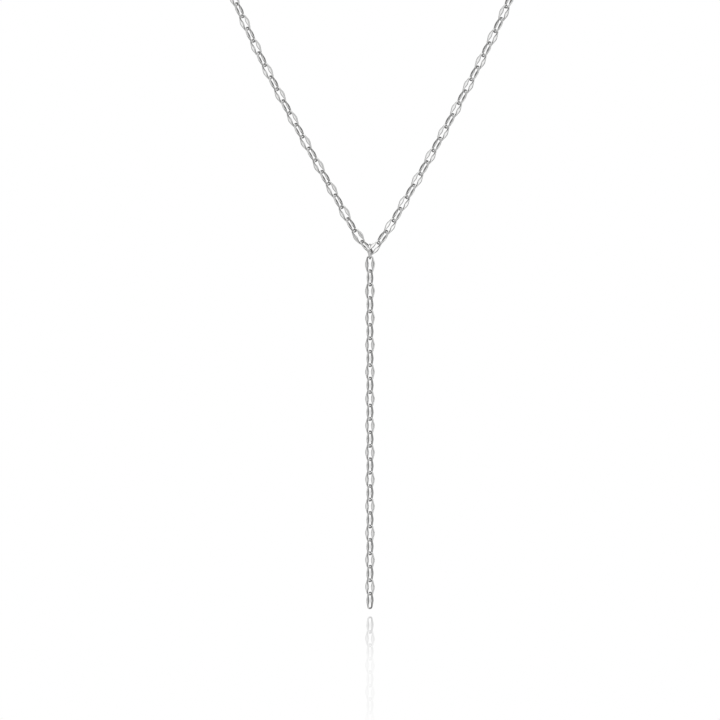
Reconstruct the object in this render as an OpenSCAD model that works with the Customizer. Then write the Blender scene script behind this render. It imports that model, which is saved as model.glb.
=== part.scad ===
// Y necklace of pressed oval links, in the form it has when it is worn.
// The origin is where the clasp rests on the nape, +Z is up and the wearer faces -Y.

/* [Neck loop] */
// Length round the whole neck loop, clasp included
loop_length = 457; // [400:1:540]
// Lean of the two centre links of the V from upright, in degrees
centre_lean = 42.9; // [42:0.1:43.5]
// How far the upper end of the left centre link leans forward, in degrees
left_centre_tilt = 0.9; // [0.5:0.1:1.5]
// How far the upper end of the right centre link leans back, in degrees
right_centre_tilt = 6; // [5.5:0.1:6.5]
// Turn of the left centre link's face away from the front, in degrees
left_centre_turn = -59; // [-60:0.5:-58]
// Turn of the right centre link's face away from the front, in degrees
right_centre_turn = 40; // [38:0.5:42]
// Distance between the end wires of the two centre links where they cross
crossing_gap = 0.435; // [0.42:0.005:0.45]
// Number of links over which the turns at the V and at the ring settle to the chain's own
settle_links = 5; // [3:1:12]

/* [Link] */
// Outside length of one link
link_length = 4.5; // [4.45:0.01:5.2]
// Outside width of one link across its pads
link_width = 2.94; // [2.86:0.01:3.1]
// Wire diameter at the ends of a link
wire_d = 0.41; // [0.36:0.01:0.42]
// Width of a pressed pad at its middle
pad_width = 1.1; // [0.8:0.01:1.2]
// Thickness of a pressed pad at its middle
pad_thickness = 0.38; // [0.25:0.01:0.4]
// Clearance between the wires of two interlocked links
joint_gap = 0.18; // [0.17:0.01:0.3]
// Turn of every second link's face away from the front, in degrees
face_turn = 36; // [30:1:42]

/* [Drop] */
// Length of the hanging chain
drop_length = 91; // [28:1:120]
// Turn of the face of the first hanging link, in degrees
first_drop_turn = 32; // [30:0.5:36]

/* [Joining ring] */
// Outside diameter of the ring
ring_outer = 4.13; // [4.11:0.01:4.2]
// Wire diameter of the ring
ring_wire = 0.44; // [0.38:0.01:0.45]
// Clearance between the ring and the first hanging link
ring_gap = 0.125; // [0.12:0.005:0.16]
// Turn of the ring about the upright axis, away from square to the V, in degrees
ring_turn = -7; // [-8:0.5:-6]
// How far the ring's centre lies to the left of the crossing of the centre links
ring_left = 0.13; // [0.12:0.005:0.15]
// How far the ring's centre lies behind the crossing
ring_behind = 0.13; // [0.11:0.01:0.15]
// How far the ring's centre lies above the crossing
ring_rise = 0.39; // [0.38:0.01:0.4]

/* [Clasp] */
// Length that the clasp takes up between the ends of the two chains
clasp_span = 9; // [8:0.5:16]
// Diameter of the clasp's barrel
barrel_d = 3; // [2.8:0.1:4]
// Radius of the barrel's rounded ends
barrel_round = 0.7; // [0.3:0.1:0.7]
// Outside diameter of the eye at each end of the clasp
eye_outer = 2.6; // [2.5:0.05:3.2]
// Wire diameter of the eyes
eye_wire = 0.45; // [0.35:0.05:0.45]

/* [Hidden] */
$fn = 48;

// Route of the chain. The first point is the crossing of the two centre links.
crossing_point = [0.13, -92, -134.5];
// The rows above it run up the V and round the neck to the nape. Their columns are the reach
// to the left, the reach to the right, the place from front to back, the height, and the
// angle from the front that the outside of the chain faces.
route = [
    [9.9, 10.8, -92, -118, 0],
    [19.9, 20.8, -92, -100, 0],
    [28.2, 29.1, -92, -84, 0],
    [35.0, 36.2, -92, -69, 0],
    [42.2, 43.3, -88.5, -51.5, 10],
    [48.2, 48.3, -76, -36, 40],
    [51.2, 50.4, -54, -22, 85],
    [46.1, 45.2, -29, -11, 120],
    [32.9, 32.5, -10, -4.5, 150],
    [17.5, 17.5, -2, -1, 170]
];
nape_angle = 180;
// Points of the smooth route between two rows
route_steps = 12;
// How far the smooth route follows the centre link's own direction before it bends up the arm
route_lead = 0.9;

// Half the distance between the two end wires of a link
half_reach = (link_length - wire_d) / 2;
// Distance from one link to the next
link_pitch = link_length - 2 * wire_d - joint_gap;
// How far an end wire passes beyond the joint into the next link
overlap = half_reach - link_pitch / 2;
// Distance from a link's middle to the middle of its pads
pad_offset = (link_width - pad_width) / 2;
// Distance from an eye's middle to the middle of its wire
eye_radius = (eye_outer - eye_wire) / 2;
ring_radius = (ring_outer - ring_wire) / 2;
neck_links = round((loop_length - clasp_span) / (2 * link_pitch));
drop_links = round(drop_length / link_pitch);

// Half of a link's outline. The columns are the place along the link as a share of half_reach,
// the place across it as a share of pad_offset, the share of the swell from wire to pad, and
// whether the wire is pressed flat there.
half_outline = [
    [1, 0.68, 0, 0],
    [0.5, 0.99, 0.3, 1],
    [0, 1, 1, 1],
    [-0.5, 0.99, 0.3, 1],
    [-1, 0.68, 0, 0]
];
outline = concat(half_outline, [for (row = half_outline) [-row[0], -row[1], row[2], row[3]]]);
// Corners of the wire's section, as shares of its width and thickness. The columns are the
// places across and through it where it is round, and those where it is pressed flat.
wire_corners = [
    [0.5, 0, 0.5, 0],
    [0.12, 0.5, 0.32, 0.5],
    [-0.5, 0.31, -0.5, 0.5],
    [-0.5, -0.31, -0.5, -0.5],
    [0.12, -0.5, 0.32, -0.5]
];
wire_sides = len(wire_corners);

function unit(v) = v / norm(v);

// Corners of the wire's section at one place of the outline, mitred to the bend there
function section(i) =
    let (
        count = len(outline),
        places = [for (row = outline) [row[0] * half_reach, row[1] * pad_offset]],
        here = places[i],
        ahead = unit(places[(i + 1) % count] - here),
        behind = unit(here - places[(i + count - 1) % count]),
        heading = unit(ahead + behind),
        out = [heading.y, -heading.x],
        width = (wire_d + outline[i][2] * (pad_width - wire_d)) / (heading * ahead),
        thickness = wire_d + outline[i][3] * (pad_thickness - wire_d),
        column = 2 * outline[i][3]
    )
    [for (corner = wire_corners)
        let (shift = corner[column] * width)
        [here.x + out.x * shift, here.y + out.y * shift, corner[column + 1] * thickness]];

link_points = [for (i = [0:len(outline) - 1]) each section(i)];
link_faces = [for (i = [0:len(outline) - 1])
    let (this = i * wire_sides, next = (i + 1) % len(outline) * wire_sides)
    for (k = [0:wire_sides - 1])
        let (up = (k + 1) % wire_sides)
        each [[this + k, next + up, next + k], [this + k, this + up, next + up]]];

// A pose holds a link's centre, the way that it points and the way that its face looks.
module link(pose) {
    along = unit(pose[1]);
    face = unit(pose[2] - (pose[2] * along) * along);
    across = cross(face, along);
    centre = pose[0];
    multmatrix([
        [along.x, across.x, face.x, centre.x],
        [along.y, across.y, face.y, centre.y],
        [along.z, across.z, face.z, centre.z],
        [0, 0, 0, 1]
    ])
        polyhedron(link_points, link_faces);
}

// Face of a link that points along, turned by an angle from its outward side. The side is -1
// on the left arm and 1 on the right arm, and mirrors the turn.
function turned_face(along, outward, turn, side) =
    let (
        way = unit(along),
        out = unit(outward - (outward * way) * way)
    )
    cos(turn) * out + side * sin(turn) * cross(way, out);

// Turn of link k of a chain: links alternate by a right angle, and what the first link is
// turned further than the chain's own pattern dies out along the first links.
function link_turn(k, first_turn, pattern_turn) =
    let (
        excess = (first_turn - pattern_turn) * max(0, 1 - k / settle_links),
        other = pattern_turn > 0 ? pattern_turn - 90 : pattern_turn + 90
    )
    (k % 2 == 0 ? pattern_turn : other) + excess;

function arm_turn(side, k) =
    side < 0
        ? link_turn(k, left_centre_turn, face_turn - 90)
        : link_turn(k, right_centre_turn, face_turn);

// Direction of a centre link, from its end in the crossing upwards
function centre_way(side) =
    let (tilt = side < 0 ? left_centre_tilt : -right_centre_tilt)
    [side * sin(centre_lean) * cos(tilt), -sin(tilt), cos(centre_lean) * cos(tilt)];
function centre_face(side) = turned_face(centre_way(side), [0, -1, 0], arm_turn(side, 0), side);
function end_wire_way(side) = cross(centre_face(side), centre_way(side));

// The end wires of the two centre links stand apart along their common perpendicular.
crossing_normal = unit(cross(end_wire_way(-1), end_wire_way(1)));
crossing_shift = (wire_d + crossing_gap) / 2 * crossing_normal * sign(crossing_normal.x);

function crossing_end(side, scale) = crossing_point * scale - side * crossing_shift;
function centre_pose(side, scale) = [
    crossing_end(side, scale) + half_reach * centre_way(side),
    centre_way(side),
    centre_face(side)
];

// Rows of one arm: place and facing angle, from the joint above the centre link to the clasp
function arm_rows(side, scale) =
    let (start = crossing_end(side, scale) + (half_reach + link_pitch / 2) * centre_way(side))
    concat(
        [[each start, 0]],
        [for (row = route)
            [side * (side < 0 ? row[0] : row[1]) * scale, row[2] * scale, row[3] * scale, row[4]]],
        [[side * clasp_span / 2, 0, 0, nape_angle]]
    );

function curve(a, b, c, d, t) =
    (2 * b + (c - a) * t + (2 * a - 5 * b + 4 * c - d) * pow(t, 2)
        + (3 * b - a - 3 * c + d) * pow(t, 3)) / 2;

function place(row) = [row[0], row[1], row[2]];

// Smooth path through the rows. It leaves the centre link straight on and meets the clasp
// square on.
function smooth(rows, side) =
    let (
        last = len(rows) - 1,
        reach = route_lead * norm(place(rows[1]) - place(rows[0])),
        before = rows[0] - reach * [each centre_way(side), 0],
        after = [-side * clasp_span / 2, 0, 0, nape_angle],
        all = [before, each rows, after]
    )
    [for (i = [1:last])
        for (j = [0:route_steps - 1])
            curve(all[i - 1], all[i], all[i + 1], all[i + 2], j / route_steps),
        rows[last]];

// Distance along a path from its start to each of its points
function distances(path) =
    [for (i = 0, s = 0; i < len(path);
        i = i + 1, s = s + (i < len(path) ? norm(place(path[i]) - place(path[i - 1])) : 0)) s];

function path_length(path) = distances(path)[len(path) - 1];

// The route is scaled so that the chain's links fill it.
arm_length = link_pitch * (neck_links - 1);
drawn_length = (path_length(smooth(arm_rows(-1, 1), -1)) + path_length(smooth(arm_rows(1, 1), 1))) / 2;
route_scale = arm_length / drawn_length;

// Joints between the links of one arm, evenly spaced
function arm_joints(side) =
    let (
        path = smooth(arm_rows(side, route_scale), side),
        s = distances(path),
        columns = [for (c = [0:3]) [for (i = [0:len(path) - 1]) [s[i], path[i][c]]]],
        spans = neck_links - 1
    )
    [for (k = [0:spans]) [for (c = columns) lookup(s[len(s) - 1] * k / spans, c)]];

function arm_poses(side) =
    let (joints = arm_joints(side))
    [centre_pose(side, route_scale),
        each [for (k = [1:neck_links - 1])
            let (
                below = joints[k - 1],
                above = joints[k],
                angle = (below[3] + above[3]) / 2,
                along = place(above - below),
                outward = [side * sin(angle), -cos(angle), 0]
            )
            [place(below + above) / 2, along, turned_face(along, outward, arm_turn(side, k), side)]]];

ring_centre = crossing_point * route_scale + [-ring_left, ring_behind, ring_rise];
// Centre of the first hanging link, whose end wire lies in the bottom of the ring
first_drop = ring_centre
    - [0, 0, ring_outer / 2 - ring_wire - ring_gap - wire_d / 2 + half_reach];

// Distance from the middle of the clasp to the middle of each eye: the chain's last end wire
// passes through the eye, and the eye's wire through the last link.
eye_place = clasp_span / 2 - overlap + (wire_d + eye_wire) / 2 + joint_gap - eye_radius;
// The barrel's ends pass through the middle of the eyes' wire.
barrel_half = eye_place - eye_radius;

module neck_chain(side) {
    for (pose = arm_poses(side))
        link(pose);
}

module neck_chain_left() {
    color("silver") neck_chain(-1);
}

module neck_chain_right() {
    color("silver") neck_chain(1);
}

module drop_chain() {
    color("silver")
        for (k = [0:drop_links - 1])
            let (
                up = [0, 0, 1],
                turn = link_turn(k, first_drop_turn, face_turn)
            )
            link([first_drop - k * link_pitch * up, up, turned_face(up, [0, -1, 0], turn, -1)]);
}

module joining_ring() {
    color("silver")
        translate(ring_centre)
            rotate([0, 90, ring_turn])
                rotate_extrude()
                    translate([ring_radius, 0])
                        circle(d = ring_wire);
}

// Half of the barrel's outline, with its rounded ends
module barrel_outline() {
    radius = barrel_d / 2;
    translate([0, -barrel_half]) square([radius - barrel_round, 2 * barrel_half]);
    translate([0, barrel_round - barrel_half]) square([radius, 2 * (barrel_half - barrel_round)]);
    for (end = [-1, 1])
        translate([radius - barrel_round, end * (barrel_half - barrel_round)])
            circle(r = barrel_round);
}

module clasp() {
    color("silver") {
        rotate([0, 90, 0]) rotate_extrude() barrel_outline();
        for (side = [-1, 1])
            translate([side * eye_place, 0, 0])
                rotate([-arm_turn(side, neck_links - 1), 0, 0])
                    rotate_extrude()
                        translate([eye_radius, 0])
                            circle(d = eye_wire);
    }
}

neck_chain_left();
neck_chain_right();
joining_ring();
drop_chain();
clasp();
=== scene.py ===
# %% [markdown]
# A silver Y necklace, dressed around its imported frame
#
# The necklace is a loop of small pressed oval links, with a straight hanging chain in the
# middle of its V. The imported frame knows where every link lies. This file gives each link its
# soft pressed shape and its polish, and sets up the plain white studio that it hangs in.
#
# Everything is in metres, with +Z up, the origin on the nape and the wearer facing -Y.

import math

import bmesh
import bpy
import numpy as np
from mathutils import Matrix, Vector


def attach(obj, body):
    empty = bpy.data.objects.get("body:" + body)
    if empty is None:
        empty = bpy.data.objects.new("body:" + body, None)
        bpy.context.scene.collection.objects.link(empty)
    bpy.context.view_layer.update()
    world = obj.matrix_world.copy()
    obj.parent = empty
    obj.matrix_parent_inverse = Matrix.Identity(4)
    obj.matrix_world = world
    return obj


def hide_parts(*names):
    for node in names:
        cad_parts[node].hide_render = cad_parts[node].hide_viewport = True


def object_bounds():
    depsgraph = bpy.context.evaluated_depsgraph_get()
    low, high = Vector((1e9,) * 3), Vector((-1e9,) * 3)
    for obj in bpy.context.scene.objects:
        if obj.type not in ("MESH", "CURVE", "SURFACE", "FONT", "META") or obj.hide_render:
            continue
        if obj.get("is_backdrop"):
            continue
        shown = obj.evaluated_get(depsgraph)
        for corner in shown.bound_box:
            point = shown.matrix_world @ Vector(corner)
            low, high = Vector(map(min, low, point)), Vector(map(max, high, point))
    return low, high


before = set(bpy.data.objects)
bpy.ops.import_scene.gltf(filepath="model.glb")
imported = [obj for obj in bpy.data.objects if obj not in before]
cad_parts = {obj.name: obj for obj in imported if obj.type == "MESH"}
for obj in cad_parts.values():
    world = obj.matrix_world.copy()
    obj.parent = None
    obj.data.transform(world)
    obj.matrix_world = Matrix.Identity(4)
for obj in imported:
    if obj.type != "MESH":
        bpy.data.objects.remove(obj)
cad_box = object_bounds()
scene = bpy.context.scene
MM = 0.001
print("nodes:", sorted(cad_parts))
print("size in mm:", [round((high - low) / MM, 2) for low, high in zip(*cad_box)])

# %% [markdown]
# The camera
#
# The photograph looks straight at the front of the necklace, level with the upper part of the
# hanging chain, through a long lens. The visible chain hangs in one upright plane, so the
# picture gives a scale for that plane and nothing about the distance. The camera is placed
# by that plane: the width that the picture covers there, and the point in its middle.

# %% Place the camera
FRONT_PLANE = -92.0 * MM
PICTURE_WIDTH = 187.47 * MM
PICTURE_MIDDLE = Vector((-2.6 * MM, FRONT_PLANE, -162.36 * MM))
CAMERA_DISTANCE = 0.7
SENSOR_WIDTH = 36.0
CLIP_RANGE = (0.01, 50.0)


def add_camera():
    """A level camera whose lens covers the picture's width in the front plane."""
    data = bpy.data.cameras.new("camera")
    data.sensor_width = SENSOR_WIDTH
    data.lens = SENSOR_WIDTH * CAMERA_DISTANCE / PICTURE_WIDTH
    data.clip_start, data.clip_end = CLIP_RANGE
    camera = bpy.data.objects.new("camera", data)
    camera.location = PICTURE_MIDDLE - Vector((0, CAMERA_DISTANCE, 0))
    camera.rotation_euler = (math.radians(90), 0, 0)
    scene.collection.objects.link(camera)
    return camera


scene.camera = add_camera()
print("lens:", round(scene.camera.data.lens, 1), "mm")

# %% [markdown]
# Where the links lie
#
# In the frame each chain is one node that holds many loose links, each a plain faceted one.
# A link is symmetric, so the average of its corners is its centre, and its corners spread
# most along it, less across it, and least through its thickness. Those three directions come
# out of the corners' covariance matrix as its eigenvectors, so no link has to be placed by
# hand.

# %% Read the pose of each link
CHAINS = ("neck_chain_left", "neck_chain_right", "drop_chain")
WELD = 0.001 * MM


def loose_links(node):
    """Corner points of each loose link of a chain node."""
    mesh = bmesh.new()
    mesh.from_mesh(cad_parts[node].data)
    bmesh.ops.remove_doubles(mesh, verts=mesh.verts, dist=WELD)
    links, reached = [], set()
    for first in mesh.verts:
        if first in reached:
            continue
        reached.add(first)
        corners = [first]
        for corner in corners:
            for edge in corner.link_edges:
                other = edge.other_vert(corner)
                if other not in reached:
                    reached.add(other)
                    corners.append(other)
        links.append(np.array([corner.co for corner in corners]))
    mesh.free()
    return links


def link_pose(corners):
    """Centre of a link, and its directions along, across and through as columns."""
    centre = corners.mean(axis=0)
    through, across, along = np.linalg.eigh(np.cov((corners - centre).T))[1].T
    axes = np.column_stack([along, across, through])
    axes[:, 2] *= np.sign(np.linalg.det(axes))
    return centre, axes


def link_size(corners, pose):
    """Length, width and thickness of a link."""
    centre, axes = pose
    return np.ptp((corners - centre) @ axes, axis=0)


chain_poses = {}
for node in CHAINS:
    links = loose_links(node)
    chain_poses[node] = [link_pose(corners) for corners in links]
    sizes = [link_size(corners, pose) for corners, pose in zip(links, chain_poses[node])]
    print(node, len(links), "links, mm:", np.round(np.mean(sizes, axis=0) / MM, 3))

# %% [markdown]
# One pressed link
#
# The real link starts as a ring of round wire. It is drawn out to an oval, and a press
# flattens its two long sides to smooth lens-shaped pads, while its ends stay round wire. A
# cube with modifiers can't follow that, and neither can a plain torus. So the link is made as
# a sweep: a section of changing form goes once round an oval line. The sizes are those that
# fit the photograph best, in which the pads are only a little thinner than the wire.

# %% Sizes of the link
LINK_LENGTH = 4.5 * MM
LINK_WIDTH = 2.94 * MM
WIRE = 0.41 * MM
PAD_WIDTH = 1.1 * MM
PAD_THICKNESS = 0.38 * MM

half_reach = (LINK_LENGTH - WIRE) / 2
pad_offset = (LINK_WIDTH - PAD_WIDTH) / 2
print("line of the wire, mm:", round(2 * half_reach / MM, 2), "by", round(2 * pad_offset / MM, 2))

# %% [markdown]
# The oval line
#
# The middle of the wire follows a superellipse, an oval with nearly straight long sides and
# full corners. Its formula spaces the points unevenly, so they are taken at even distances
# from a much finer line. Then all stations of the sweep are about equally long.

# %% Draw the oval line
OVAL_POWER = 4.0
FINE_POINTS = 4000
STATIONS = 84


def full_turn(count):
    """Angles at even steps, once round."""
    return np.linspace(0, 2 * math.pi, count, endpoint=False)


def superellipse(turns, half_x, half_y, power):
    """Points of an oval. Power 2 is an ellipse, and more makes its corners fuller."""
    cosine, sine = np.cos(turns), np.sin(turns)
    x = half_x * np.sign(cosine) * np.abs(cosine) ** (2 / power)
    y = half_y * np.sign(sine) * np.abs(sine) ** (2 / power)
    return np.stack(np.broadcast_arrays(x, y), axis=-1)


def evenly_spaced(points, count):
    """Count points at even distances along a closed line."""
    closed = np.vstack([points, points[:1]])
    run = np.concatenate([[0], np.cumsum(np.linalg.norm(np.diff(closed, axis=0), axis=1))])
    wanted = np.arange(count) * run[-1] / count
    return np.column_stack([np.interp(wanted, run, column) for column in closed.T])


fine_line = superellipse(full_turn(FINE_POINTS), half_reach, pad_offset, OVAL_POWER)
oval_line = evenly_spaced(fine_line, STATIONS)
steps = np.linalg.norm(np.diff(oval_line, axis=0), axis=1)
print("stations from", round(steps.min() / MM, 3), "to", round(steps.max() / MM, 3), "mm long")

# %% [markdown]
# The pressed section
#
# The section is a superellipse too. At the ends of the link it is a circle, and towards the
# middle of each long side it grows wide, with flat faces and rounded edges, as a press leaves
# them. How far it has grown follows a cosine wave, so a pad begins and ends without a step.

# %% Sweep the section round the line
AROUND = 18
ROUND_POWER = 2.0
PAD_POWER = 3.0
PAD_REACH = 0.88  # share of the half length at which a pad ends
PAD_PEAK = 1.3  # above 1, a pad narrows sooner towards its ends


def pressed_share(x):
    """0 where the link is still round wire, 1 in the middle of a pad."""
    way = np.minimum(np.abs(x) / (PAD_REACH * half_reach), 1)
    return ((1 + np.cos(math.pi * way)) / 2) ** PAD_PEAK


def link_corners(line):
    """Points of one link round its own centre, as stations by places around the section."""
    heading = np.roll(line, -1, axis=0) - np.roll(line, 1, axis=0)
    heading /= np.linalg.norm(heading, axis=1, keepdims=True)
    outward = np.column_stack([heading[:, 1], -heading[:, 0]])
    share = pressed_share(line[:, :1])
    half_width = (WIRE + share * (PAD_WIDTH - WIRE)) / 2
    half_depth = (WIRE + share * (PAD_THICKNESS - WIRE)) / 2
    power = ROUND_POWER + share * (PAD_POWER - ROUND_POWER)
    section = superellipse(full_turn(AROUND), half_width, half_depth, power)
    flat = line[:, None] + outward[:, None] * section[..., :1]
    return np.concatenate([flat, section[..., 1:]], axis=-1)


def tube_faces(stations, around):
    """Faces of a closed tube whose points are numbered station by station."""
    i, k = np.meshgrid(np.arange(stations), np.arange(around), indexing="ij")
    here, ahead = i * around, (i + 1) % stations * around
    k_next = (k + 1) % around
    corners = [here + k, ahead + k, ahead + k_next, here + k_next]
    return np.stack(corners, axis=-1).reshape(-1, 4)


link_points = link_corners(oval_line).reshape(-1, 3)
link_faces = tube_faces(STATIONS, AROUND)
print("one link, mm:", np.round(np.ptp(link_points, axis=0) / MM, 3), "faces:", len(link_faces))

# %% [markdown]
# The chains
#
# Every link of a chain goes into one mesh, because the frame's chain is one node too. Each
# point also keeps two notes that the finish reads later: its place on its own link in
# millimetres, and how deep it sits in the nook where the next link rubs, which is where the
# finish paints shade and tarnish. The place is shifted by a different amount for each link,
# so that no two links carry the same scratches.

# %% Stamp the links into one mesh per chain
LINK_SHIFT = np.array([7.31, 4.87, 9.13])


def note(mesh, name, values):
    """Keeps a value for each point of a mesh, for its finish to read."""
    kind, field = ("FLOAT_VECTOR", "vector") if values.ndim == 2 else ("FLOAT", "value")
    attribute = mesh.attributes.new(name, kind, "POINT")
    attribute.data.foreach_set(field, values.astype(np.float32).ravel())


def piece(name, points, faces):
    """A smooth shaded object from points and faces, in the row frame."""
    mesh = bpy.data.meshes.new(name)
    mesh.from_pydata(points, [], faces)
    mesh.shade_smooth()
    made = bpy.data.objects.new(name, mesh)
    scene.collection.objects.link(made)
    return made


def chain_piece(name, poses):
    """All links of a chain in one mesh, with the notes for its finish."""
    count = len(poses)
    points = np.concatenate([centre + link_points @ axes.T for centre, axes in poses])
    faces = np.concatenate([link_faces + i * len(link_points) for i in range(count)])
    made = piece(name, points, faces)
    place = np.concatenate([link_points / MM + i * LINK_SHIFT for i in range(count)])
    # the nook note: 1 on the inside of a link's round ends, where painted shade and tarnish go
    inward = np.tile(-np.cos(full_turn(AROUND)), STATIONS)
    nook = (1 - pressed_share(link_points[:, 0])) * np.clip(inward, 0, 1)
    note(made.data, "place", place)
    note(made.data, "nook", np.tile(nook, count))
    return made


chains = {node: chain_piece(node + "_links", poses) for node, poses in chain_poses.items()}
for node, made in chains.items():
    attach(made, "root")
    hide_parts(node)
    print(made.name, len(made.data.polygons), "faces")

# %% [markdown]
# The joining ring
#
# A closed ring of round wire lies round the place where the two neck chains hook into each
# other, and holds the hanging chain. Its node is a true ring with flat facets, so the piece
# that stands for it takes the node's centre, axis, and sizes, and only makes it round. The
# axis is the direction in which the node's points spread least.

# %% Make the ring
RING_STATIONS = 96
RING_AROUND = 24


def points_of(node):
    """Corner points of a node."""
    return np.array([vertex.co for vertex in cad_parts[node].data.vertices])


def frame_of(points):
    """Centre and directions of a flat round thing. The last direction is its axis."""
    centre = (points.min(axis=0) + points.max(axis=0)) / 2
    axis, side, _ = np.linalg.eigh(np.cov((points - centre).T))[1].T
    return centre, np.column_stack([side, np.cross(axis, side), axis])


def torus_points(outer, wire, stations, around):
    """Points of a ring round its own centre, with its axis along Z."""
    turn = full_turn(stations)[:, None]
    roll = full_turn(around)[None]
    reach = (outer - wire) / 2 + wire / 2 * np.cos(roll)
    z = np.broadcast_to(wire / 2 * np.sin(roll), (stations, around))
    return np.stack([reach * np.cos(turn), reach * np.sin(turn), z], axis=-1).reshape(-1, 3)


ring_points = points_of("joining_ring")
ring_centre, ring_axes = frame_of(ring_points)
ring_spread = np.ptp((ring_points - ring_centre) @ ring_axes, axis=0)
ring_outer, ring_wire = ring_spread[:2].max(), ring_spread[2]
ring_shape = torus_points(ring_outer, ring_wire, RING_STATIONS, RING_AROUND)
ring_faces = tube_faces(RING_STATIONS, RING_AROUND)
ring = piece("joining_ring_wire", ring_centre + ring_shape @ ring_axes.T, ring_faces)
note(ring.data, "place", ring_shape / MM)
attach(ring, "root")
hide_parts("joining_ring")
print("ring, mm:", round(ring_outer / MM, 3), round(ring_wire / MM, 3))

# %% [markdown]
# The clasp
#
# The clasp lies behind the neck, out of the photograph's sight, so it is a plain turned
# barrel with a wire eye at each end. A lathe makes such a barrel in one piece, and the mesh
# is made the same way: half of its outline is turned round the X axis. A real barrel clasp
# has a fine line turned round its middle, where its halves meet, and one near each end.

# %% Measure the clasp
EYE_OUTER = 2.6 * MM
EYE_WIRE = 0.45 * MM

clasp_points = points_of("clasp")
clasp_half = clasp_points[:, 0].max()
barrel_radius = clasp_points[:, 2].max()
eye_place = clasp_half - EYE_OUTER / 2
barrel_half = eye_place - (EYE_OUTER - EYE_WIRE) / 2
print("half the clasp, mm:", round(clasp_half / MM, 2), "barrel:", round(barrel_half / MM, 2))

# %% Turn the barrel
BARREL_ROUND = 0.7 * MM
BARREL_ROUND_POINTS = 12
BARREL_AROUND = 96
TURNED_LINE = 0.05 * MM
# a turned line's outline as places along and heights, in depths of the line
TURNED_LINE_FORM = np.array([[-1.2, 0], [-0.5, -0.8], [0, -1], [0.5, -0.8], [1.2, 0]])
LINE_FROM_ROUND = 4 * TURNED_LINE


def barrel_outline():
    """Half of the barrel's outline from one end to the other, as places along and radii."""
    bend = np.linspace(math.pi, math.pi / 2, BARREL_ROUND_POINTS)
    corner = np.column_stack([
        BARREL_ROUND - barrel_half + BARREL_ROUND * np.cos(bend),
        barrel_radius - BARREL_ROUND + BARREL_ROUND * np.sin(bend),
    ])
    line = TURNED_LINE * TURNED_LINE_FORM
    near_end = line + [corner[-1, 0] + LINE_FROM_ROUND, barrel_radius]
    half = np.vstack([corner, near_end, line[:3] + [0, barrel_radius]])
    return np.vstack([half, half[-2::-1] * [-1, 1]])


def turned(outline, around):
    """Points and faces of a solid turned round the X axis, closed by a point at each end."""
    turn = full_turn(around)
    x, radius = outline[:, :1], outline[:, 1:]
    along = np.broadcast_to(x, (len(x), around))
    rings = np.stack([along, radius * np.cos(turn), radius * np.sin(turn)], axis=-1)
    ends = np.array([[outline[0, 0], 0, 0], [outline[-1, 0], 0, 0]])
    points = np.vstack([rings.reshape(-1, 3), ends])
    first_end, last_end = len(points) - 2, len(points) - 1
    last_ring = (len(x) - 1) * around
    faces = []
    for k in range(around):
        beside = (k + 1) % around
        faces.append([first_end, beside, k])
        faces.append([last_end, last_ring + k, last_ring + beside])
        for i in range(0, last_ring, around):
            faces.append([i + k, i + beside, i + around + beside, i + around + k])
    return points, faces


barrel_points, barrel_faces = turned(barrel_outline(), BARREL_AROUND)
barrel = piece("clasp_barrel", barrel_points, barrel_faces)
note(barrel.data, "place", barrel_points / MM)
print("barrel, mm:", np.round(np.ptp(barrel_points, axis=0) / MM, 2), "faces:", len(barrel_faces))

# %% [markdown]
# The clasp's eyes
#
# Each eye is a wire ring like the joining ring, soldered to an end of the barrel and turned
# to suit the link that it holds. The node's corners beyond the middle of an eye are the eye's
# own, and the direction in which they spread least is its axis.

# %% Bend the two eyes
EYE_STATIONS = 72
EYE_AROUND = 20


def eye_piece(side):
    """A wire eye on one end of the barrel, in the plane that the node's own eye has."""
    far = clasp_points[clasp_points[:, 0] * side > eye_place]
    axis = np.linalg.eigh(np.cov(far.T))[1][:, 0]
    axis[0] = 0
    axis /= np.linalg.norm(axis)
    axes = np.column_stack([[1, 0, 0], np.cross(axis, [1, 0, 0]), axis])
    shape = torus_points(EYE_OUTER, EYE_WIRE, EYE_STATIONS, EYE_AROUND)
    points = shape @ axes.T + [side * eye_place, 0, 0]
    name = "clasp_eye_left" if side < 0 else "clasp_eye_right"
    made = piece(name, points, tube_faces(EYE_STATIONS, EYE_AROUND))
    note(made.data, "place", shape / MM)
    return made


clasp_pieces = [barrel, eye_piece(-1), eye_piece(1)]
for made in clasp_pieces:
    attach(made, "root")
    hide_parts("clasp")
    print(made.name, len(made.data.polygons), "faces")

# %% [markdown]
# What a silver finish is made of
#
# Polished silver is a mirror, so nearly all of its look is what it reflects. What tells it
# from chrome is small: fine lines from the polishing wheel, a few stray scratches, a slight
# haze that comes and goes, and a dark colour in the nooks between links, which is partly
# tarnish where no cloth reaches and partly painted shade.
#
# The links, the ring and the clasp share these effects in different amounts. So they are one
# shader node group with named inputs, built once, and each material sets its own values.

# %% Helpers for shader nodes
def shader_node(tree, kind, inputs=(), **settings):
    """Adds a node, sets its properties, and sets or links its inputs by name or number."""
    made = tree.nodes.new(kind)
    for key, value in settings.items():
        setattr(made, key, value)
    for key, value in dict(inputs).items():
        if isinstance(value, bpy.types.NodeSocket):
            tree.links.new(value, made.inputs[key])
        else:
            made.inputs[key].default_value = value
    return made


def result(tree, kind, inputs=(), **settings):
    """The first output of a new node."""
    return shader_node(tree, kind, inputs, **settings).outputs[0]


def sum_of(tree, a, b):
    return result(tree, "ShaderNodeMath", {0: a, 1: b}, operation="ADD")


def difference(tree, a, b):
    return result(tree, "ShaderNodeMath", {0: a, 1: b}, operation="SUBTRACT")


def product(tree, a, b):
    return result(tree, "ShaderNodeMath", {0: a, 1: b}, operation="MULTIPLY")


def blend_of(tree, share, a, b):
    """Colour a where the share is 0 and colour b where it is 1."""
    made = shader_node(tree, "ShaderNodeMix", {0: share, 6: a, 7: b}, data_type="RGBA")
    return made.outputs[2]


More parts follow.
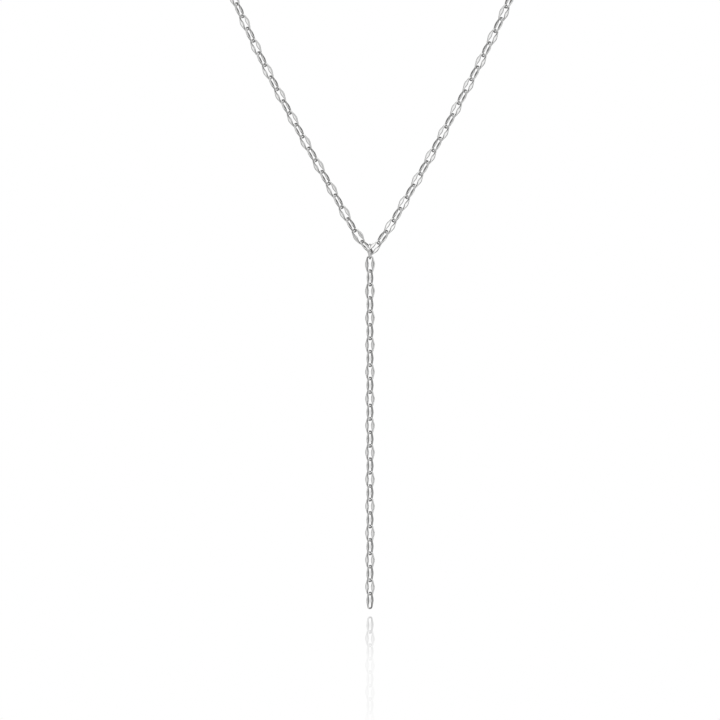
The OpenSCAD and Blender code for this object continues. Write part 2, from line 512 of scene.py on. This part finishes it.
def ramp_up(tree, value, low, high, to=1.0):
    """0 below low, rising smoothly to its full amount above high."""
    inputs = {"Value": value, "From Min": low, "From Max": high, "To Max": to}
    return result(tree, "ShaderNodeMapRange", inputs, interpolation_type="SMOOTHSTEP")


# %% Build the silver finish group
SILVER = (0.96, 0.96, 0.955, 1)
# colour of the nooks between links, partly tarnish and partly painted shade
SHADE_AND_TARNISH_COLOUR = (0.1, 0.098, 0.095, 1)
GROUP_INPUTS = (
    ("Place", "NodeSocketVector", None),
    ("Nook", "NodeSocketFloat", 0.0),
    ("Bright Colour", "NodeSocketColor", SILVER),
    ("Shade And Tarnish Colour", "NodeSocketColor", SHADE_AND_TARNISH_COLOUR),
    ("Smoothest", "NodeSocketFloat", 0.08),
    ("Haze", "NodeSocketFloat", 0.06),
    ("Line Depth", "NodeSocketFloat", 0.4),
    ("Scratch Depth", "NodeSocketFloat", 0.6),
)
GROUP_OUTPUTS = (
    ("Colour", "NodeSocketColor"),
    ("Roughness", "NodeSocketFloat"),
    ("Height", "NodeSocketFloat"),
)
# noise drawn out to lines: waves a millimetre along X, Y and Z, turn in radians, detail
POLISH_LINES = {"stretch": (1.5, 38, 38), "turn": 0.1, "detail": 2}
STRAY_LINES = {"stretch": (55, 1.2, 9), "turn": 0.7, "detail": 0}
CLOUD = {"Scale": 0.9, "Detail": 2.0}
# where in its noise an effect starts, and where it has its full amount
SCRATCH_RAMP = (0.7, 0.78)
HAZE_RAMP = (0.35, 0.7)
SHADE_AND_TARNISH_RAMP = (0.1, 0.45)
# what the full painted shade and tarnish and a full scratch add to the roughness
SHADE_AND_TARNISH_ROUGHNESS = 0.25
SCRATCH_ROUGHNESS = 0.08


def stretched_noise(tree, place, stretch, turn, detail):
    """Noise drawn out to fine lines. The stretch is in waves a millimetre."""
    angle = {"Vector": place, "Angle": turn}
    turned_place = result(tree, "ShaderNodeVectorRotate", angle, rotation_type="Z_AXIS")
    factors = {0: turned_place, 1: stretch}
    waves = result(tree, "ShaderNodeVectorMath", factors, operation="MULTIPLY")
    return result(tree, "ShaderNodeTexNoise", {"Vector": waves, "Scale": 1.0, "Detail": detail})


def silver_finish_group():
    """The effects of the three finishes, as a colour with tarnish and painted shade in its nooks, a
    roughness and a height.
    """
    group = bpy.data.node_groups.new("silver_finish", "ShaderNodeTree")
    for name, kind, value in GROUP_INPUTS:
        socket = group.interface.new_socket(name, in_out="INPUT", socket_type=kind)
        if value is not None:
            socket.default_value = value
    for name, kind in GROUP_OUTPUTS:
        group.interface.new_socket(name, in_out="OUTPUT", socket_type=kind)

    given = group.nodes.new("NodeGroupInput").outputs
    place = given["Place"]
    lines = stretched_noise(group, place, **POLISH_LINES)
    scratches = ramp_up(group, stretched_noise(group, place, **STRAY_LINES), *SCRATCH_RAMP)
    cloud = result(group, "ShaderNodeTexNoise", {"Vector": place, **CLOUD})
    haze = ramp_up(group, cloud, *HAZE_RAMP)
    # painted shade in the nooks between links, which also stands for tarnish there
    shade_and_tarnish = product(group, given["Nook"], ramp_up(group, cloud, *SHADE_AND_TARNISH_RAMP))

    colour = blend_of(group, shade_and_tarnish, given["Bright Colour"], given["Shade And Tarnish Colour"])
    dull = product(group, haze, given["Haze"])
    dull = sum_of(group, dull, product(group, shade_and_tarnish, SHADE_AND_TARNISH_ROUGHNESS))
    dull = sum_of(group, given["Smoothest"], dull)
    roughness = sum_of(group, dull, product(group, scratches, SCRATCH_ROUGHNESS))
    raised = product(group, lines, given["Line Depth"])
    height = difference(group, raised, product(group, scratches, given["Scratch Depth"]))

    leaving = group.nodes.new("NodeGroupOutput").inputs
    for name, value in (("Colour", colour), ("Roughness", roughness), ("Height", height)):
        group.links.new(value, leaving[name])
    return group


silver_finish = silver_finish_group()
print("group sockets:", [item.name for item in silver_finish.interface.items_tree])

# %% [markdown]
# The three silver finishes
#
# All three are the same metal. The chains are barrel polished, so they have short lines, and
# their nooks get a dark colour that is partly tarnish and partly painted shade. The ring was
# polished by itself and is a little brighter. The clasp still shows the round lines of the
# lathe, which are a noise that changes only along it. Only the chains have this painted shade
# and tarnish, so on the ring and the clasp the colour is the same all over, and is set on the
# shader's own socket.

# %% Make the silver materials
POLISH_DEPTH = 0.001 * MM
LATHE_LINES = {"stretch": (45, 0, 0), "turn": 0.0, "detail": 2}


def noted(tree, name, kind):
    """What the points of a mesh keep under a name."""
    return shader_node(tree, "ShaderNodeAttribute", attribute_name=name).outputs[kind]


def silver_material(name, nook=0.0, lathe_lines=0.0, **amounts):
    """A mirror-like metal with the finish group's effects in the amounts given."""
    material = bpy.data.materials.new(name)
    material.use_nodes = True
    tree = material.node_tree
    tree.nodes.clear()
    place = noted(tree, "place", "Vector")
    finish = shader_node(tree, "ShaderNodeGroup", node_tree=silver_finish)
    tree.links.new(place, finish.inputs["Place"])
    # the chains' nooks get the painted shade and tarnish
    if nook:
        tree.links.new(product(tree, noted(tree, "nook", "Fac"), nook), finish.inputs["Nook"])
    for label, value in amounts.items():
        finish.inputs[label.replace("_", " ").title()].default_value = value
    height = finish.outputs["Height"]
    if lathe_lines:
        turned_lines = stretched_noise(tree, place, **LATHE_LINES)
        height = sum_of(tree, height, product(tree, turned_lines, lathe_lines))
    bump = result(tree, "ShaderNodeBump", {"Height": height, "Distance": POLISH_DEPTH})
    surface = result(tree, "ShaderNodeBsdfPrincipled", {
        "Base Color": finish.outputs["Colour"] if nook else SILVER,
        "Metallic": 1.0,
        "Roughness": finish.outputs["Roughness"],
        "Normal": bump,
    })
    shader_node(tree, "ShaderNodeOutputMaterial", {"Surface": surface})
    return material


chain_silver = silver_material("polished_chain_silver", nook=1.0)
ring_silver = silver_material("polished_ring_silver", smoothest=0.06, haze=0.04, scratch_depth=0.4)
clasp_silver = silver_material("turned_clasp_silver", smoothest=0.1, lathe_lines=0.9)
for made in chains.values():
    made.data.materials.append(chain_silver)
ring.data.materials.append(ring_silver)
for made in clasp_pieces:
    made.data.materials.append(clasp_silver)
print("finishes:", [material.name for material in (chain_silver, ring_silver, clasp_silver)])

# %% [markdown]
# The floor
#
# The necklace hangs just above a glossy white floor, which shows a faint mirror image of the
# tip that fades towards the camera. A floor like that is white acrylic, lit so brightly that
# it has no shade of its own. So its shader mixes a plain white glow with a mirror, and a mask
# sets how much is mirror. The mask depends only on how far a point is from under the tip. The
# floor stays out of the metal's own reflections, which come from the studio around it.

# %% Lay the floor
WHITE = (1, 1, 1, 1)
FLOOR_HEIGHT = -228.19 * MM
FLOOR_SIZE = 8.0
MIRROR_REACH = 300 * MM
# distance from under the tip in millimetres, and share of mirror there
MIRROR_SHARES = ((0, 0.5), (50, 0.36), (80, 0.24), (105, 0.115), (185, 0.1), (215, 0.02), (230, 0))


def vector_value(tree, operation, a, b):
    """The number that an operation on two vectors gives, such as a distance."""
    made = shader_node(tree, "ShaderNodeVectorMath", {0: a, 1: b}, operation=operation)
    return made.outputs["Value"]


def add_floor():
    """A white glowing floor with a mirror that fades away from the tip."""
    under_tip = (0, FRONT_PLANE, FLOOR_HEIGHT)
    bpy.ops.mesh.primitive_plane_add(size=FLOOR_SIZE, location=under_tip)
    made = bpy.context.object
    made.name = "floor"
    material = bpy.data.materials.new("glossy_white_floor")
    material.use_nodes = True
    tree = material.node_tree
    tree.nodes.clear()
    position = shader_node(tree, "ShaderNodeNewGeometry").outputs["Position"]
    away = vector_value(tree, "DISTANCE", position, under_tip)
    mirror = shader_node(tree, "ShaderNodeValToRGB", {"Fac": product(tree, away, 1 / MIRROR_REACH)})
    stops = mirror.color_ramp.elements
    for distance, _ in MIRROR_SHARES[1:-1]:
        stops.new(distance * MM / MIRROR_REACH)
    for stop, (distance, share) in zip(stops, MIRROR_SHARES):
        stop.position = distance * MM / MIRROR_REACH
        stop.color = (share, share, share, 1)
    glow = result(tree, "ShaderNodeEmission", {"Color": WHITE, "Strength": 1.0})
    gloss = result(tree, "ShaderNodeBsdfGlossy", {"Color": WHITE, "Roughness": 0.0})
    surface = result(tree, "ShaderNodeMixShader", {0: mirror.outputs["Color"], 1: glow, 2: gloss})
    shader_node(tree, "ShaderNodeOutputMaterial", {"Surface": surface})
    made.data.materials.append(material)
    made.visible_glossy = False
    made.visible_diffuse = False
    return made


floor = add_floor()
floor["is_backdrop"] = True
print("floor", round((cad_box[0].z - FLOOR_HEIGHT) / MM, 2), "mm under the tip")

# %% [markdown]
# The light
#
# Silver needs something to reflect. On a jeweller's set that is a ring of soft boxes and
# white cards with dark gaps between them, which draw the light and dark parts of each link.
# All of it is far away compared with a link, so it is painted on the world around the
# necklace. Each box or card is a soft round patch in one direction, added to a nearly dark
# surround. Most of them got their brightness from a fit: each patch was rendered by itself,
# and the sum of these pictures was fitted to the photograph. The last ones were added so
# that no side of the links turns black. The camera sees plain white behind the necklace,
# and so does the floor's mirror.

# %% Paint the studio round the necklace
SURROUND_GREY = 0.035
PATCHES = (
    # direction to the patch, half its width in degrees, soft rim in degrees, brightness
    ((-0.95, -0.3, -0.06), 17, 22, 0.6),
    ((0.73, -0.53, -0.42), 26, 28, 1.09),
    ((0.27, -0.65, 0.71), 26, 28, 0.6),
    ((-0.73, -0.56, -0.4), 17, 22, 0.39),
    ((0, -0.09, 1), 26, 28, 1.83),
    ((0, -0.98, 0.17), 26, 28, 0.71),
    ((0.99, 0.13, 0.1), 17, 22, 0.27),
    ((0.43, -0.25, -0.87), 26, 28, 0.56),
    ((-0.91, 0, -0.42), 26, 28, 0.38),
    ((-0.76, -0.44, 0.48), 17, 22, 1.03),
    ((0.88, -0.19, 0.44), 17, 22, 0.83),
    ((-0.43, 0.25, -0.87), 26, 28, 0.67),
    ((-0.33, -0.92, -0.19), 17, 22, 0.51),
    ((0.73, 0.53, -0.42), 26, 28, 0.2),
    ((-0.83, 0.31, 0.48), 17, 22, 0.21),
    ((0.83, 0.31, 0.48), 17, 22, 0.14),
    ((0, 0.95, 0.3), 38, 28, 0.34),
)


def studio():
    """Soft patches of light for the metal, and plain white for the camera."""
    world = bpy.data.worlds.new("studio")
    world.use_nodes = True
    tree = world.node_tree
    tree.nodes.clear()
    direction = shader_node(tree, "ShaderNodeTexCoord").outputs["Generated"]
    light = SURROUND_GREY
    for towards, half_width, rim, brightness in PATCHES:
        facing = vector_value(tree, "DOT_PRODUCT", direction, Vector(towards).normalized())
        edge = math.cos(math.radians(half_width + rim / 2))
        core = math.cos(math.radians(half_width - rim / 2))
        light = sum_of(tree, light, ramp_up(tree, facing, edge, core, brightness))
    reflected = result(tree, "ShaderNodeBackground", {"Strength": light})
    seen = result(tree, "ShaderNodeBackground", {"Color": WHITE, "Strength": 1.0})
    ray = shader_node(tree, "ShaderNodeLightPath").outputs
    plain = sum_of(tree, ray["Is Camera Ray"], ray["Is Singular Ray"])
    both = result(tree, "ShaderNodeMixShader", {0: plain, 1: reflected, 2: seen})
    shader_node(tree, "ShaderNodeOutputWorld", {"Surface": both})
    return world


scene.world = studio()
scene.view_settings.view_transform = "Standard"
print("patches:", len(PATCHES))

# %% [markdown]
# Sizes and the end
#
# The dressed necklace has to fill the same box as the imported one, so both boxes are
# printed.

# %% Print the sizes
boxes = {"cad": cad_box, "visual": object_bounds()}
for name, box in boxes.items():
    print(name, "box, mm:", [[round(value / MM, 3) for value in corner] for corner in box])
